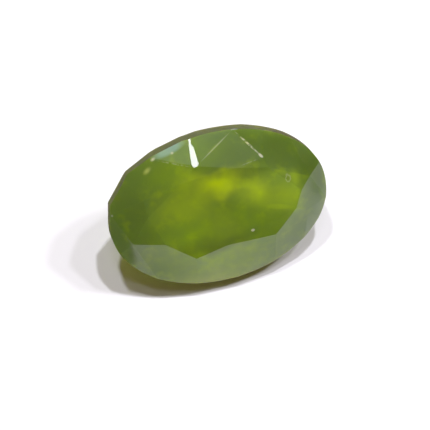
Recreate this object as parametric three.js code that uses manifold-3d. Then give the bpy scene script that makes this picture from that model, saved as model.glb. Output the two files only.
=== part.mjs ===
// A loose oval vesuvianite, brilliant cut by hand, lying on one facet of its pavilion.
// Millimetres, +Z up. The stone is cut upright first: its length along X, its table square to Z and
// the middle of its girdle at Z = 0. At the end it is leaned over onto the facet it rests on.
import * as THREE from "three";
import { mergeVertices } from "three/addons/utils/BufferGeometryUtils.js";
import Module from "manifold-3d";

// The oval outline. Angles round it are in degrees on the oval's own circle: 0 at +X, 90 at +Y.
const LENGTH = 12.0;
const WIDTH = 8.34;
const ARC_STEPS = 88;

// One end was ground in straight flats that were never rounded off. Each corner between two flats
// is an angle and how far out it lies, as a share of the oval.
const FLATS_START = 92;
const FLAT_CORNERS = [
  [101, 1.008],
  [118, 1.02],
  [134, 1.045],
  [157, 1.028],
];
const FLATS_END = 172;

const GIRDLE_THICKNESS = 1.0;
const CROWN_HEIGHT = 0.95;
const PAVILION_ANGLE = 41;

// Crown main facets, in turn round the stone: the angle of the tip that touches the girdle, the
// slope, and the angle of the corner that reaches the table.
const CROWN_MAINS = [
  [163, 28, 163],
  [119, 28.5, 119],
  [75, 27, 68],
  [41, 28, 41],
  [-15, 29.5, 0],
  [-46, 27, -19],
  [-89, 22.5, -94],
  [-134, 23.5, -159],
];

// How far over the girdle each main facet and the next one end, in the point of a star facet.
const STAR_HEIGHTS = [0.75, 0.81, 0.75, 0.73, 0.61, 0.85, 0.83, 0.7];

// The edge between one pair of girdle facets, over this star point, was ground off into a narrow
// facet, which lies this far below the edge where it starts at the girdle and where it ends.
const GROUND_POINT = 1;
const GROUND_DEPTHS = [0.007, 0.014];

// Pavilion main facets, by the angles of their tips. They all end in the culet, and the facets at
// the girdle reach this share of the way down to it. The stone rests on the main at REST_TIP.
const PAVILION_TIPS = [180, 137, 92, 43, -2, -46, -90, -134];
const PAVILION_REACH = 0.48;
const REST_TIP = -90;

// The side of the blocks that cut the facets, and how near two corners are one and the same.
const CUTTER = 40;
const SAME_POINT = 1e-4;

const FULL_TURN = 360;
const QUARTER_TURN = 90;

const wasm = await Module();
wasm.setup();

// A point over the oval: an angle round it, a share of the way out and a height.
function onOval(angle, share, height) {
  const turn = THREE.MathUtils.degToRad(angle);
  const x = (LENGTH / 2) * share * Math.cos(turn);
  const y = (WIDTH / 2) * share * Math.sin(turn);
  return new THREE.Vector3(x, y, height);
}

// The plane through three points, facing away from the middle of the stone.
function facetThrough(a, b, c) {
  const plane = new THREE.Plane().setFromCoplanarPoints(a, b, c);
  return plane.constant > 0 ? plane.negate() : plane;
}

function solidOf(geometry) {
  const bare = geometry.clone();
  bare.deleteAttribute("normal");
  bare.deleteAttribute("uv");
  const merged = mergeVertices(bare, SAME_POINT);
  const vertProperties = new Float32Array(merged.attributes.position.array);
  const triVerts = new Uint32Array(merged.index.array);
  return new wasm.Manifold(new wasm.Mesh({ numProp: 3, vertProperties, triVerts }));
}

function geometryOf(solid) {
  const mesh = solid.getMesh();
  const geometry = new THREE.BufferGeometry();
  geometry.setAttribute("position", new THREE.BufferAttribute(mesh.vertProperties, 3));
  geometry.setIndex(new THREE.BufferAttribute(mesh.triVerts, 1));
  const flat = geometry.toNonIndexed();
  flat.computeVertexNormals();
  return flat;
}

// Everything outside a facet, as a block whose underside lies on the facet's plane.
function wasteOver(plane) {
  const block = new THREE.BoxGeometry(CUTTER, CUTTER, CUTTER);
  const place = new THREE.Object3D();
  place.quaternion.setFromUnitVectors(new THREE.Vector3(0, 0, 1), plane.normal);
  place.position.copy(plane.normal).multiplyScalar(CUTTER / 2 - plane.constant);
  place.updateMatrix();
  return solidOf(block.applyMatrix4(place.matrix));
}

// The blank: the oval outline, part arc and part flats, as tall as the finished stone.
function ovalBlank(bottom, top) {
  const outline = new THREE.Shape();
  const start = THREE.MathUtils.degToRad(FLATS_END - FULL_TURN);
  const end = THREE.MathUtils.degToRad(FLATS_START);
  outline.absellipse(0, 0, LENGTH / 2, WIDTH / 2, start, end, false, 0);
  for (const [angle, share] of FLAT_CORNERS) {
    const corner = onOval(angle, share, 0);
    outline.lineTo(corner.x, corner.y);
  }
  outline.closePath();
  const blank = new THREE.ExtrudeGeometry(outline, {
    depth: top - bottom,
    bevelEnabled: false,
    curveSegments: ARC_STEPS,
  });
  return solidOf(blank.translate(0, 0, bottom));
}

// A main facet touches the girdle's edge at its tip only, and passes through one point further in.
function mainFacet(touch, tip, inner) {
  const along = onOval(tip + QUARTER_TURN, 1, 0);
  return facetThrough(touch, touch.clone().add(along), inner);
}

function crownMain(tip, slope, edge) {
  const touch = onOval(tip, 1, edge);
  const along = onOval(tip + QUARTER_TURN, 1, 0).normalize();
  const inner = touch.clone().add(new THREE.Vector3(-along.y, along.x, 0));
  inner.z += Math.tan(THREE.MathUtils.degToRad(slope));
  return mainFacet(touch, tip, inner);
}

function after(list, i) {
  return list[(i + 1) % list.length];
}

// Half the angle from one tip round to the next.
function halfwayTo(tip, nextTip) {
  return ((tip - nextTip + FULL_TURN) % FULL_TURN) / 2;
}

// Where two neighbouring main facets would meet, just outside the girdle.
function ribFoot(tip, nextTip, edge) {
  const half = halfwayTo(tip, nextTip);
  const share = 1 / Math.cos(THREE.MathUtils.degToRad(half));
  return onOval(tip - half, share, edge);
}

// The point at a height on the rib between two main facets.
function onRib(foot, main, nextMain, height) {
  const along = main.normal.clone().cross(nextMain.normal);
  return foot.clone().addScaledVector(along, (height - foot.z) / along.z);
}

// The place on the girdle's edge halfway between a tip and the next one.
function girdleMiddle(tips, i, edge) {
  return onOval(tips[i] - halfwayTo(tips[i], after(tips, i)), 1, edge);
}

// A pair of small facets over each rib, from its point down to the girdle between the two tips.
function girdleFacets(tips, points, edge) {
  return points.flatMap((point, i) => {
    const middle = girdleMiddle(tips, i, edge);
    const pair = [tips[i], after(tips, i)];
    return pair.map((tip) => facetThrough(onOval(tip, 1, edge), middle, point));
  });
}

// The narrow facet that replaces the edge between the pair of girdle facets over one point.
function groundFacet(tips, points, edge) {
  const ends = [girdleMiddle(tips, GROUND_POINT, edge), points[GROUND_POINT]];
  const pair = girdleFacets(tips, points, edge).slice(2 * GROUND_POINT, 2 * GROUND_POINT + 2);
  const up = pair[0].normal.clone().add(pair[1].normal).normalize();
  const [start, end] = ends.map((at, i) => at.clone().addScaledVector(up, -GROUND_DEPTHS[i]));
  const across = end.clone().sub(start).cross(up);
  return facetThrough(start, end, start.clone().add(across));
}

// Where a facet reaches a height, looking out from the middle of the stone at an angle.
function cornerOn(plane, angle, height) {
  const middle = new THREE.Vector3(0, 0, height);
  const ray = new THREE.Ray(middle, onOval(angle, 1, 0).normalize());
  return ray.intersectPlane(plane, new THREE.Vector3());
}

function crownFacets(edge, table) {
  const tips = CROWN_MAINS.map(([tip]) => tip);
  const mains = CROWN_MAINS.map(([tip, slope]) => crownMain(tip, slope, edge));
  const feet = tips.map((tip, i) => ribFoot(tip, after(tips, i), edge));
  const points = feet.map((foot, i) => {
    return onRib(foot, mains[i], after(mains, i), edge + STAR_HEIGHTS[i]);
  });
  const corners = CROWN_MAINS.map(([, , angle], i) => cornerOn(mains[i], angle, table));
  const stars = points.map((point, i) => facetThrough(corners[i], after(corners, i), point));
  const narrow = groundFacet(tips, points, edge);
  return [...mains, ...stars, ...girdleFacets(tips, points, edge), narrow];
}

function pavilionFacets(edge, culet) {
  const tips = PAVILION_TIPS;
  const mains = tips.map((tip) => mainFacet(onOval(tip, 1, edge), tip, culet));
  const feet = tips.map((tip, i) => ribFoot(tip, after(tips, i), edge));
  const points = feet.map((foot) => foot.clone().lerp(culet, PAVILION_REACH));
  return { mains, facets: [...mains, ...girdleFacets(tips, points, edge)] };
}

const crownEdge = GIRDLE_THICKNESS / 2;
const tableHeight = crownEdge + CROWN_HEIGHT;
const pavilionDepth = (WIDTH / 2) * Math.tan(THREE.MathUtils.degToRad(PAVILION_ANGLE));
const culet = new THREE.Vector3(0, 0, -crownEdge - pavilionDepth);
const pavilion = pavilionFacets(-crownEdge, culet);
const facets = [...crownFacets(crownEdge, tableHeight), ...pavilion.facets];
const blank = ovalBlank(culet.z, tableHeight);
const cut = facets.reduce((left, facet) => left.subtract(wasteOver(facet)), blank);

// Vesuvianite: a dense yellow-green, polished to a glassy shine.
const vesuvianite = new THREE.MeshStandardMaterial({
  color: 0x6f8a24,
  roughness: 0.15,
  metalness: 0,
  transparent: true,
  opacity: 0.85,
});
const stone = new THREE.Mesh(geometryOf(cut), vesuvianite);
stone.name = "stone";

// Leaned onto its facet, then set down with the middle of its footprint on the Z axis.
const restFacet = pavilion.mains[PAVILION_TIPS.indexOf(REST_TIP)];
const down = new THREE.Vector3(0, 0, -1);
stone.quaternion.setFromUnitVectors(restFacet.normal, down);
const box = new THREE.Box3().setFromObject(stone, true);
const middle = box.getCenter(new THREE.Vector3());
stone.position.set(-middle.x, -middle.y, -box.min.z);

const group = new THREE.Group();
group.name = "vesuvianite";
group.add(stone);

export default group;
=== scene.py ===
import math

import bmesh
import bpy
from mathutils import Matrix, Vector


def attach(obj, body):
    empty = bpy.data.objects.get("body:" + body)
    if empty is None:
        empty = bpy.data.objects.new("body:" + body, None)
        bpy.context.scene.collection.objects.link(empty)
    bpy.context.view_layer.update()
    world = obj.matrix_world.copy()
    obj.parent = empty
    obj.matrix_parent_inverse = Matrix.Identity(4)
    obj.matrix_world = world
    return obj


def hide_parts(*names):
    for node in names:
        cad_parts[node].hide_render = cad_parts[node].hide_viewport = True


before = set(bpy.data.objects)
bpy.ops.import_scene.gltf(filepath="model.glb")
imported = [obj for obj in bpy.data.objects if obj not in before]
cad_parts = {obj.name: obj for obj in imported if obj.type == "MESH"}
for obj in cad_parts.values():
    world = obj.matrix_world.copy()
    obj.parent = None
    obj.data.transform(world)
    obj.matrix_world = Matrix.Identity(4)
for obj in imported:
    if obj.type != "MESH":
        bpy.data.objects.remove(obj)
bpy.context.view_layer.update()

# The stone is one loose vesuvianite crystal, cut by hand as an oval brilliant. Its facets were ground
# on a lap and polished, its girdle was left as the coarse wheel ground it, and handling has worn the
# edges. The stone's own axes are X along it, Y across it and Z square to its table, and they start
# in the middle of the girdle.
MM = 0.001
SAME_POINT = 0.0005 * MM
FLAT_WITHIN = math.radians(0.4)
WORN_WIDTH = 0.06 * MM
WORN_ANGLE = math.radians(6.5)
LEAN = math.radians(41)
STONE_AXIS = Vector((0, -math.sin(LEAN), math.cos(LEAN)))
GIRDLE_SLOPE = 0.2
MIDDLE = Vector((0, 0, 3.113)) * MM

bpy.ops.object.select_all(action="DESELECT")
stone = bpy.data.objects.new("cut_stone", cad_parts["stone"].data.copy())
bpy.context.scene.collection.objects.link(stone)
stone.select_set(True)
bpy.context.view_layer.objects.active = stone
bpy.ops.object.mode_set(mode="EDIT")
bpy.ops.mesh.select_all(action="SELECT")
bpy.ops.mesh.remove_doubles(threshold=SAME_POINT)
bpy.ops.mesh.dissolve_limited(angle_limit=FLAT_WITHIN)
bpy.ops.mesh.faces_shade_smooth()


def on_girdle(face):
    return abs(face.normal.dot(STONE_AXIS)) < GIRDLE_SLOPE


# An edge too slight to wear stays a crisp line, except where it is part of the girdle's round.
bpy.ops.mesh.select_mode(type="EDGE")
bpy.ops.mesh.select_all(action="DESELECT")
for edge in bmesh.from_edit_mesh(stone.data).edges:
    round_part = all(on_girdle(face) for face in edge.link_faces)
    edge.select = edge.calc_face_angle() < WORN_ANGLE and not round_part
bpy.ops.mesh.mark_sharp()
bpy.ops.object.mode_set(mode="OBJECT")

# Every other edge is rounded a little, and the facets between them stay flat.
wear = stone.modifiers.new("wear", "BEVEL")
wear.width = WORN_WIDTH
wear.segments = 3
wear.limit_method = "ANGLE"
wear.angle_limit = WORN_ANGLE
bpy.ops.object.modifier_apply(modifier=wear.name)
flat_facets = stone.modifiers.new("flat_facets", "WEIGHTED_NORMAL")
flat_facets.weight = 100
flat_facets.keep_sharp = True
bpy.ops.object.modifier_apply(modifier=flat_facets.name)

# The narrow faces on the rounded edges are marked, so that the material can dull them.
worn = stone.data.attributes.new("worn", "FLOAT", "FACE")
for face in stone.data.polygons:
    corners = [stone.data.vertices[i].co for i in face.vertices]
    longest = max((corner - corners[i - 1]).length for i, corner in enumerate(corners))
    worn.data[face.index].value = float(face.area < WORN_WIDTH * longest)


def linear(code):
    """Six hex digits of an sRGB colour, as linear red, green, blue and alpha."""
    parts = [int(code[i : i + 2], 16) / 255 for i in (0, 2, 4)]
    light = [((p + 0.055) / 1.055) ** 2.4 if p > 0.04045 else p / 12.92 for p in parts]
    return (*light, 1.0)


def new_material(name):
    made = bpy.data.materials.new(name)
    made.use_nodes = True
    made.node_tree.nodes.clear()
    return made


def add_node(tree, kind, inputs, **settings):
    """Add one node with its settings, and give each input a value or link it to an output."""
    node = tree.nodes.new(kind)
    for name, value in settings.items():
        setattr(node, name, value)
    for name, value in inputs.items():
        if isinstance(value, bpy.types.NodeSocket):
            tree.links.new(value, node.inputs[name])
        else:
            node.inputs[name].default_value = value
    return node


# Vesuvianite, polished on a lap: glassy on the surface and sleepy inside, so the light that enters
# spreads into soft clouds. All its patterns are placed in millimetres on the stone's own axes.
crystal = new_material("polished_vesuvianite")
tree = crystal.node_tree
surface_place = add_node(tree, "ShaderNodeTexCoord", {})
own_place = add_node(
    tree,
    "ShaderNodeMapping",
    {
        "Vector": surface_place.outputs["Object"],
        "Location": MIDDLE,
        "Rotation": (LEAN, 0, 0),
        "Scale": (MM, MM, MM),
    },
    vector_type="TEXTURE",
).outputs["Vector"]
height = add_node(tree, "ShaderNodeSeparateXYZ", {"Vector": own_place}).outputs["Z"]


def shifted_place(size, amount):
    """The place on the stone, moved up to half this amount each way by noise of this size."""
    noise = add_node(tree, "ShaderNodeTexNoise", {"Vector": own_place, "Scale": 1 / size})
    centred = add_node(
        tree,
        "ShaderNodeVectorMath",
        {0: noise.outputs["Color"], 1: (0.5, 0.5, 0.5)},
        operation="SUBTRACT",
    )
    return add_node(
        tree,
        "ShaderNodeVectorMath",
        {0: centred.outputs["Vector"], 1: (amount, amount, amount), 2: own_place},
        operation="MULTIPLY_ADD",
    ).outputs["Vector"]


def turned(degrees):
    return (0, 0, math.radians(degrees))


def soft_patch(place, middle, reach, turn=(0, 0, 0), strength=1.0, core=1.0):
    """A mask round a point, with its strength in the middle and nothing left at its reach."""
    inside = add_node(
        tree,
        "ShaderNodeMapping",
        {"Vector": place, "Location": middle, "Rotation": turn, "Scale": reach},
        vector_type="TEXTURE",
    )
    ball = add_node(
        tree,
        "ShaderNodeTexGradient",
        {"Vector": inside.outputs["Vector"]},
        gradient_type="SPHERICAL",
    )
    return add_node(
        tree,
        "ShaderNodeMapRange",
        {"Value": ball.outputs["Fac"], "From Max": core, "To Max": strength},
        interpolation_type="SMOOTHSTEP",
    ).outputs["Result"]


# The crystal's colour. Its body is deep green and milky towards the near side, with darker patches
# and golden wisps under a millimetre across.
DEEP_GREEN = "739345"
MILKY_GREEN = "AAD31C"
GOLDEN_GREEN = "D4F327"
CLOUD_EDGE_SIZE = 1.43
PATCH_SIZE = 0.8
PATCH_STRENGTH = 0.3
cloud_place = shifted_place(CLOUD_EDGE_SIZE, 1.2)
cloudiness = add_node(
    tree,
    "ShaderNodeTexNoise",
    {"Vector": own_place, "Scale": 1 / PATCH_SIZE, "Detail": 2.5},
).outputs["Fac"]
patches = add_node(
    tree,
    "ShaderNodeMapRange",
    {"Value": cloudiness, "From Min": 0.35, "From Max": 0.75, "To Max": PATCH_STRENGTH},
    interpolation_type="SMOOTHSTEP",
)
wisps = add_node(
    tree,
    "ShaderNodeMapRange",
    {"Value": cloudiness, "From Min": 0.5, "From Max": 0.2, "To Max": PATCH_STRENGTH},
    interpolation_type="SMOOTHSTEP",
)
layers = [
    (soft_patch(cloud_place, (-0.5, -2.0, 0.6), (6.4, 4.2, 3.5)), MILKY_GREEN),
    (patches.outputs["Result"], DEEP_GREEN),
    (wisps.outputs["Result"], GOLDEN_GREEN),
]

# Zones of colour: a lighter, clearer pavilion and pale green along the near side of the crown. The
# rest is
# painted light from inside the stone: a painted glow, bright yellow-green under the table with golden
# patches round it, and painted shade, a darker band in front of it and a dark right end.
PALE_GREEN = "C4E13F"
PAINTED_GLOW_LIME = "E4FC20"
PAINTED_SHADE_GREEN = "5A761E"
PAVILION_GREEN = "CBE238"
below = add_node(
    tree,
    "ShaderNodeMapRange",
    {"Value": height, "From Min": -0.5, "From Max": -1.5},
    interpolation_type="SMOOTHSTEP",
)
layers += [
    (soft_patch(cloud_place, (-1.6, -4.3, 0.2), (3.8, 1.8, 1.8), strength=0.75), PALE_GREEN),
    (soft_patch(cloud_place, (-1.0, 3.4, 1.0), (3.6, 1.3, 1.1), strength=0.3), MILKY_GREEN),
    (soft_patch(cloud_place, (-2.6, 2.5, 1.2), (1.8, 1.3, 1.2), strength=0.35), MILKY_GREEN),
    # Painted glow: golden patches and a bright lime heart under the table.
    (soft_patch(cloud_place, (-1.9, 1.0, 1.5), (2.7, 1.5, 1.5), turned(12), 0.45), GOLDEN_GREEN),
    (soft_patch(cloud_place, (-1.2, 2.3, 1.4), (1.6, 1.0, 1.0), turned(10), 0.5), GOLDEN_GREEN),
    (soft_patch(cloud_place, (2.0, 0.7, 1.5), (1.5, 1.1, 1.5), turned(-40), 0.5), GOLDEN_GREEN),
    (soft_patch(cloud_place, (3.6, -0.3, 1.5), (1.6, 1.1, 1.5), turned(-10), 0.27), GOLDEN_GREEN),
    (soft_patch(cloud_place, (0.2, 1.6, 1.5), (1.9, 1.0, 1.2), turned(14)), PAINTED_GLOW_LIME),
    # Painted shade: a darker band in front of the heart and a dark right end.
    (soft_patch(cloud_place, (0.0, -1.6, 1.45), (3.4, 1.0, 1.0), strength=0.95), DEEP_GREEN),
    (soft_patch(cloud_place, (0.3, -0.7, 1.45), (1.5, 0.7, 1.0), strength=0.4), DEEP_GREEN),
    (soft_patch(cloud_place, (-0.8, -1.7, 1.45), (3.2, 0.9, 1.0), strength=0.35), PAINTED_SHADE_GREEN),
    (soft_patch(cloud_place, (5.5, 0.5, 0.8), (1.8, 2.6, 1.5), strength=0.8), PAINTED_SHADE_GREEN),
    (soft_patch(cloud_place, (4.3, 2.6, 0.6), (2.2, 1.3, 1.2), strength=0.4), PAINTED_SHADE_GREEN),
    (below.outputs["Result"], PAVILION_GREEN),
]

# One facet is scuffed along the girdle, and its bluish white there is partly a painted reflection of
# bluish light. Some shallow flaws show as yellow or golden marks.
SCUFF_AND_REFLECTION_BLUE = "BCEDED"
YELLOW_FLAW = "EFF79A"


def line_patch(start, end, width, strength):
    """The same kind of mask along a straight line, as wide to each side as given."""
    way = Vector(end) - Vector(start)
    middle = (Vector(start) + Vector(end)) / 2
    turn = way.to_track_quat("X", "Z").to_euler()
    return soft_patch(own_place, middle, (way.length / 2, width, width), turn, strength, core=0.6)


layers += [
    (line_patch((-2.95, 3.62, 0.5), (-0.85, 4.12, 0.5), 0.34, 0.55), SCUFF_AND_REFLECTION_BLUE),
    (soft_patch(own_place, (-3.32, 3.12, 0.67), (0.36, 0.18, 0.3), turned(30), 0.7), YELLOW_FLAW),
    (line_patch((2.1, -0.25, 1.45), (3.9, -0.85, 1.45), 0.2, 0.2), GOLDEN_GREEN),
    (soft_patch(own_place, (4.2, 0.8, 1.35), (0.45, 0.7, 0.6), strength=0.35), GOLDEN_GREEN),
]

# The worn edges are a little lighter. The girdle was ground but never polished, so it is greyer, and
# painted shade darkens it at the right end.
GROUND_GREEN = "787E58"
SHADE_BROWN = "645A3E"
CHIP_AND_GLINT_WHITE = "FFFFE7"
WORN_LIGHTNESS = 0.12
worn_mark = add_node(tree, "ShaderNodeAttribute", {}, attribute_name="worn").outputs["Fac"]
worn_light = add_node(
    tree,
    "ShaderNodeMath",
    {0: worn_mark, 1: WORN_LIGHTNESS},
    operation="MULTIPLY",
)
facing = add_node(
    tree,
    "ShaderNodeVectorMath",
    {0: surface_place.outputs["Normal"], 1: STONE_AXIS},
    operation="DOT_PRODUCT",
)
slope = add_node(tree, "ShaderNodeMath", {0: facing.outputs["Value"]}, operation="ABSOLUTE")
girdle = add_node(
    tree,
    "ShaderNodeMapRange",
    {"Value": slope.outputs["Value"], "From Min": 2 * GIRDLE_SLOPE, "From Max": GIRDLE_SLOPE},
    interpolation_type="SMOOTHSTEP",
).outputs["Result"]
# Painted shade on the girdle at the right end.
shaded_end = soft_patch(own_place, (4.9, 2.3, 0.2), (2.4, 2.4, 2.0), strength=0.75, core=0.7)
girdle_shade = add_node(tree, "ShaderNodeMath", {0: shaded_end, 1: girdle}, operation="MULTIPLY")
layers += [
    (worn_light.outputs["Value"], CHIP_AND_GLINT_WHITE),
    (girdle, GROUND_GREEN),
    (girdle_shade.outputs["Value"], SHADE_BROWN),
]

# Handling has chipped some of the crown's edges and left a few pits. The light lines along these
# edges, and the bright spot at the end of one of them, are chips and painted highlights together,
# standing in for the lamps' glints on the worn edges. A row of chips is a line that a fine noise
# breaks up.
CHIP_LENGTH = 0.16
chip_noise = add_node(
    tree,
    "ShaderNodeTexNoise",
    {"Vector": own_place, "Scale": 1 / CHIP_LENGTH, "Detail": 3.0},
)
chips = add_node(
    tree,
    "ShaderNodeMapRange",
    {"Value": chip_noise.outputs["Fac"], "From Min": 0.38, "From Max": 0.6},
    interpolation_type="SMOOTHSTEP",
)


def chip_and_glint_line(start, end, width, strength):
    return add_node(
        tree,
        "ShaderNodeMath",
        {0: line_patch(start, end, width, strength), 1: chips.outputs["Result"]},
        operation="MULTIPLY",
    ).outputs["Value"]


layers += [
    # Chips with painted highlights along the crown's edges, a painted glint, then some pits.
    (chip_and_glint_line((-2.9, 3.6, 0.55), (-0.9, 2.8, 1.32), 0.06, 0.4), CHIP_AND_GLINT_WHITE),
    (line_patch((-0.67, 2.9, 1.27), (1.61, 3.99, 0.51), 0.05, 0.4), CHIP_AND_GLINT_WHITE),
    (chip_and_glint_line((1.5, 4.03, 0.48), (1.95, 3.95, 0.48), 0.09, 1.0), CHIP_AND_GLINT_WHITE),
    (chip_and_glint_line((1.66, 3.99, 0.51), (2.75, 2.35, 1.23), 0.07, 1.0), CHIP_AND_GLINT_WHITE),
    (chip_and_glint_line((2.68, 2.3, 1.26), (1.35, 2.23, 1.42), 0.04, 0.2), CHIP_AND_GLINT_WHITE),
    (soft_patch(own_place, (2.7, 2.42, 1.2), (0.09, 0.2, 0.2), turned(34), core=0.5), CHIP_AND_GLINT_WHITE),
    (soft_patch(own_place, (1.35, -1.44, 1.45), (0.12, 0.09, 0.15), core=0.35), CHIP_AND_GLINT_WHITE),
    (soft_patch(own_place, (-1.8, 3.69, 0.63), (0.12, 0.1, 0.1)), CHIP_AND_GLINT_WHITE),
    (soft_patch(own_place, (-2.86, 3.6, 0.52), (0.2, 0.12, 0.14), turned(20)), CHIP_AND_GLINT_WHITE),
    (soft_patch(own_place, (-5.7, 1.18, 0.53), (0.09, 0.09, 0.1), strength=0.6), CHIP_AND_GLINT_WHITE),
]

# A bubble just under the surface shows as a small ring.
RING_EDGE_SIZE = 0.2
bubble = soft_patch(shifted_place(RING_EDGE_SIZE, 0.3), (3.83, 0.87, 1.42), (0.22, 0.32, 0.4))
rim_outside = add_node(
    tree,
    "ShaderNodeMapRange",
    {"Value": bubble, "From Min": 0.05, "From Max": 0.3, "To Max": 0.25},
    interpolation_type="SMOOTHSTEP",
)
rim_inside = add_node(
    tree,
    "ShaderNodeMapRange",
    {"Value": bubble, "From Min": 0.8, "From Max": 0.5},
    interpolation_type="SMOOTHSTEP",
)
rim = add_node(
    tree,
    "ShaderNodeMath",
    {0: rim_outside.outputs["Result"], 1: rim_inside.outputs["Result"]},
    operation="MULTIPLY",
)
layers.append((rim.outputs["Value"], CHIP_AND_GLINT_WHITE))

# All these colours are laid one over another, in the order above, on the deep green.
colour = linear(DEEP_GREEN)
for mask, over in layers:
    colour = add_node(
        tree,
        "ShaderNodeMix",
        {0: mask, 6: colour, 7: linear(over)},
        data_type="RGBA",
    ).outputs[2]

# The girdle and the worn edges have no polish, and it has dulled at both ends of the stone and on the
# left of the near side.
shine = add_node(tree, "ShaderNodeMath", {0: 1.0, 1: girdle}, operation="SUBTRACT").outputs["Value"]
dull_places = [
    worn_mark,
    soft_patch(own_place, (-5.9, -0.4, 0.4), (1.3, 2.4, 1.3), strength=0.95, core=0.4),
    soft_patch(own_place, (-3.8, -2.6, 0.5), (3.2, 2.4, 1.6), strength=0.3),
    soft_patch(own_place, (5.6, 0.2, 0.8), (1.0, 1.3, 1.0), strength=0.45, core=0.5),
]
for mask in dull_places:
    shine = add_node(
        tree,
        "ShaderNodeMix",
        {0: mask, 2: shine, 3: 0.0},
        data_type="FLOAT",
    ).outputs[0]

# The milky crown spreads the light more than the clear pavilion does, and the girdle most of all.
CLEAR_ROUGHNESS = 0.2
MILKY_ROUGHNESS = 0.48
GROUND_ROUGHNESS = 0.88
spread = add_node(
    tree,
    "ShaderNodeMapRange",
    {
        "Value": height,
        "From Min": -1.5,
        "From Max": 0.0,
        "To Min": CLEAR_ROUGHNESS,
        "To Max": MILKY_ROUGHNESS,
    },
)
roughness = add_node(
    tree,
    "ShaderNodeMix",
    {0: girdle, 2: spread.outputs["Result"], 3: GROUND_ROUGHNESS},
    data_type="FLOAT",
)

# Grit left pits about 0.02 mm wide in the girdle, drawn three times as coarse so that they show. The
# polish left the facets a few thousandths of a millimetre out of flat.
PIT_SIZE = 0.06
PIT_DEPTH = 0.03 * MM
HILL_SIZE = 2.5
HILL_HEIGHT = 0.012 * MM
pits = add_node(tree, "ShaderNodeTexNoise", {"Vector": own_place, "Scale": 1 / PIT_SIZE})
ground = add_node(
    tree,
    "ShaderNodeBump",
    {"Height": pits.outputs["Fac"], "Strength": girdle, "Distance": PIT_DEPTH},
).outputs["Normal"]
hills = add_node(
    tree,
    "ShaderNodeTexNoise",
    {"Vector": own_place, "Scale": 1 / HILL_SIZE, "Detail": 0.0},
)
lapped = add_node(
    tree,
    "ShaderNodeBump",
    {"Height": hills.outputs["Fac"], "Distance": HILL_HEIGHT, "Normal": ground},
).outputs["Normal"]

# The polished skin mirrors crisply, as a coat, and the sleepy body under it mirrors nothing. Light
# that goes deeper is tinted more.
VESUVIANITE_IOR = 1.71
SEE_THROUGH = 0.66
SCATTER_DEPTH = 3 * MM
DEEP_TINT = "FCF13F"
TINT_PER_METRE = 200.0
surface = add_node(
    tree,
    "ShaderNodeBsdfPrincipled",
    {
        "Base Color": colour,
        "Roughness": roughness.outputs[0],
        "IOR": VESUVIANITE_IOR,
        "Normal": ground,
        "Subsurface Weight": 1.0,
        "Subsurface Radius": (1.0, 1.0, 0.3),
        "Subsurface Scale": SCATTER_DEPTH,
        "Specular Tint": linear("000000"),
        "Transmission Weight": SEE_THROUGH,
        "Coat Weight": shine,
        "Coat Roughness": 0.02,
        "Coat IOR": VESUVIANITE_IOR,
        "Coat Normal": lapped,
    },
)
depth = add_node(
    tree,
    "ShaderNodeVolumeAbsorption",
    {"Color": linear(DEEP_TINT), "Density": TINT_PER_METRE},
)
add_node(
    tree,
    "ShaderNodeOutputMaterial",
    {"Surface": surface.outputs["BSDF"], "Volume": depth.outputs["Volume"]},
)
stone.data.materials.clear()
stone.data.materials.append(crystal)
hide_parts("stone")
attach(stone, "root")

# The floor is a large sheet of matt white card, cut flat.
CARD_WHITE = linear("E0E0E0")
CARD_SIZE = 3.0
bpy.ops.mesh.primitive_plane_add(size=CARD_SIZE)
floor = bpy.context.active_object
floor.name = "floor"
card = new_material("white_card")
paper = add_node(
    card.node_tree,
    "ShaderNodeBsdfPrincipled",
    {"Base Color": CARD_WHITE, "Roughness": 0.9},
)
add_node(card.node_tree, "ShaderNodeOutputMaterial", {"Surface": paper.outputs["BSDF"]})
floor.data.materials.append(card)

# The light is a row of small ceiling lamps that runs from behind the stone to its right, with soft
# skylight overhead and a dim warm room all round.
LAMP_DISTANCE = 0.4
LAMPLIGHT = "F3F2FF"
SKYLIGHT = "F0FCFF"
ROOM_LIGHT = "73663C"


def lamp(name, azimuth, elevation, width, radiance, colour):
    """A round lamp in the sky: azimuth 0 is +X and 90 is +Y, and all the angles are in degrees."""
    turn = math.radians(azimuth)
    rise = math.radians(elevation)
    way = Vector((math.cos(rise) * math.cos(turn), math.cos(rise) * math.sin(turn), math.sin(rise)))
    light = bpy.data.lights.new(name, "AREA")
    light.shape = "DISK"
    light.size = 2 * LAMP_DISTANCE * math.tan(math.radians(width / 2))
    # A disc that shines evenly gives off pi times its radiance times its area.
    light.energy = radiance * (math.pi * light.size / 2) ** 2
    light.color = linear(colour)[:3]
    placed = bpy.data.objects.new(name, light)
    placed.location = MIDDLE + way * LAMP_DISTANCE
    placed.rotation_mode = "QUATERNION"
    placed.rotation_quaternion = way.to_track_quat("Z", "Y")
    bpy.context.scene.collection.objects.link(placed)


def ceiling_lamp(name, azimuth, elevation, width, floor_light):
    """A lamp that gives the card this much light, where 1 is just white."""
    solid_angle = 2 * math.pi * (1 - math.cos(math.radians(width / 2)))
    per_radiance = CARD_WHITE[0] * solid_angle * math.sin(math.radians(elevation)) / math.pi
    lamp(name, azimuth, elevation, width, floor_light / per_radiance, LAMPLIGHT)


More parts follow.
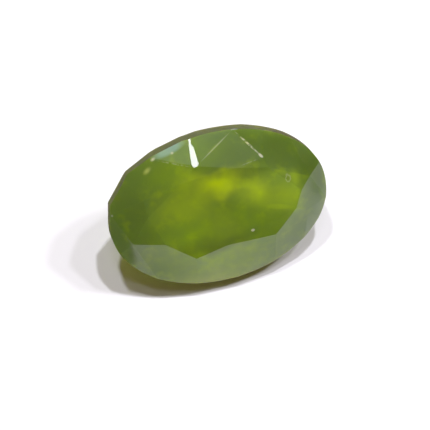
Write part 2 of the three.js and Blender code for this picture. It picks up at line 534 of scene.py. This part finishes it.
ceiling_lamp("rear_lamp", 95.5, 67.3, 4.5, 0.295)
ceiling_lamp("rear_right_lamp", 47, 66.5, 2.8, 0.385)
ceiling_lamp("right_lamp", 15, 58, 4.5, 0.152)
ceiling_lamp("low_right_lamp", 6, 48, 6.0, 0.235)
lamp("overhead_lamp", 76, 86, 9, 13, LAMPLIGHT)
lamp("left_skylight", 142, 80, 9, 0.85, SKYLIGHT)
lamp("middle_skylight", 30, 79.3, 8, 0.6, SKYLIGHT)
lamp("right_skylight", -19, 73, 9, 0.4, SKYLIGHT)
room = bpy.data.worlds.new("room")
room.use_nodes = True
room.node_tree.nodes["Background"].inputs["Color"].default_value = linear(ROOM_LIGHT)
bpy.context.scene.world = room

# The camera looks down steeply from the front left, about 100 mm from the stone. The stone lies a few
# pixels right of the picture's middle and above it.
CAMERA_TURN = math.radians(-17)
CAMERA_RISE = math.radians(68)
CAMERA_DISTANCE = 100 * MM
FOCAL_LENGTH = 155.3
IMAGE_SIZE = 430
MIDDLE_RIGHT_PIXELS = 2.7
MIDDLE_UP_PIXELS = 10.8
lens = bpy.data.cameras.new("camera")
lens.lens = FOCAL_LENGTH
lens.clip_start = 1 * MM
lens.shift_x = -MIDDLE_RIGHT_PIXELS / IMAGE_SIZE
lens.shift_y = -MIDDLE_UP_PIXELS / IMAGE_SIZE
camera = bpy.data.objects.new("camera", lens)
bpy.context.scene.collection.objects.link(camera)
level = Vector((math.sin(CAMERA_TURN), -math.cos(CAMERA_TURN), 0)) * math.cos(CAMERA_RISE)
back = level + Vector((0, 0, math.sin(CAMERA_RISE)))
camera.location = MIDDLE + back * CAMERA_DISTANCE
camera.rotation_mode = "QUATERNION"
camera.rotation_quaternion = (-back).to_track_quat("-Z", "Y")
bpy.context.scene.camera = camera

# Light crosses the stone many times before it leaves, so it is followed for long.
scene = bpy.context.scene
scene.view_settings.view_transform = "Standard"
scene.cycles.max_bounces = 32
scene.cycles.transmission_bounces = 24
scene.cycles.glossy_bounces = 12
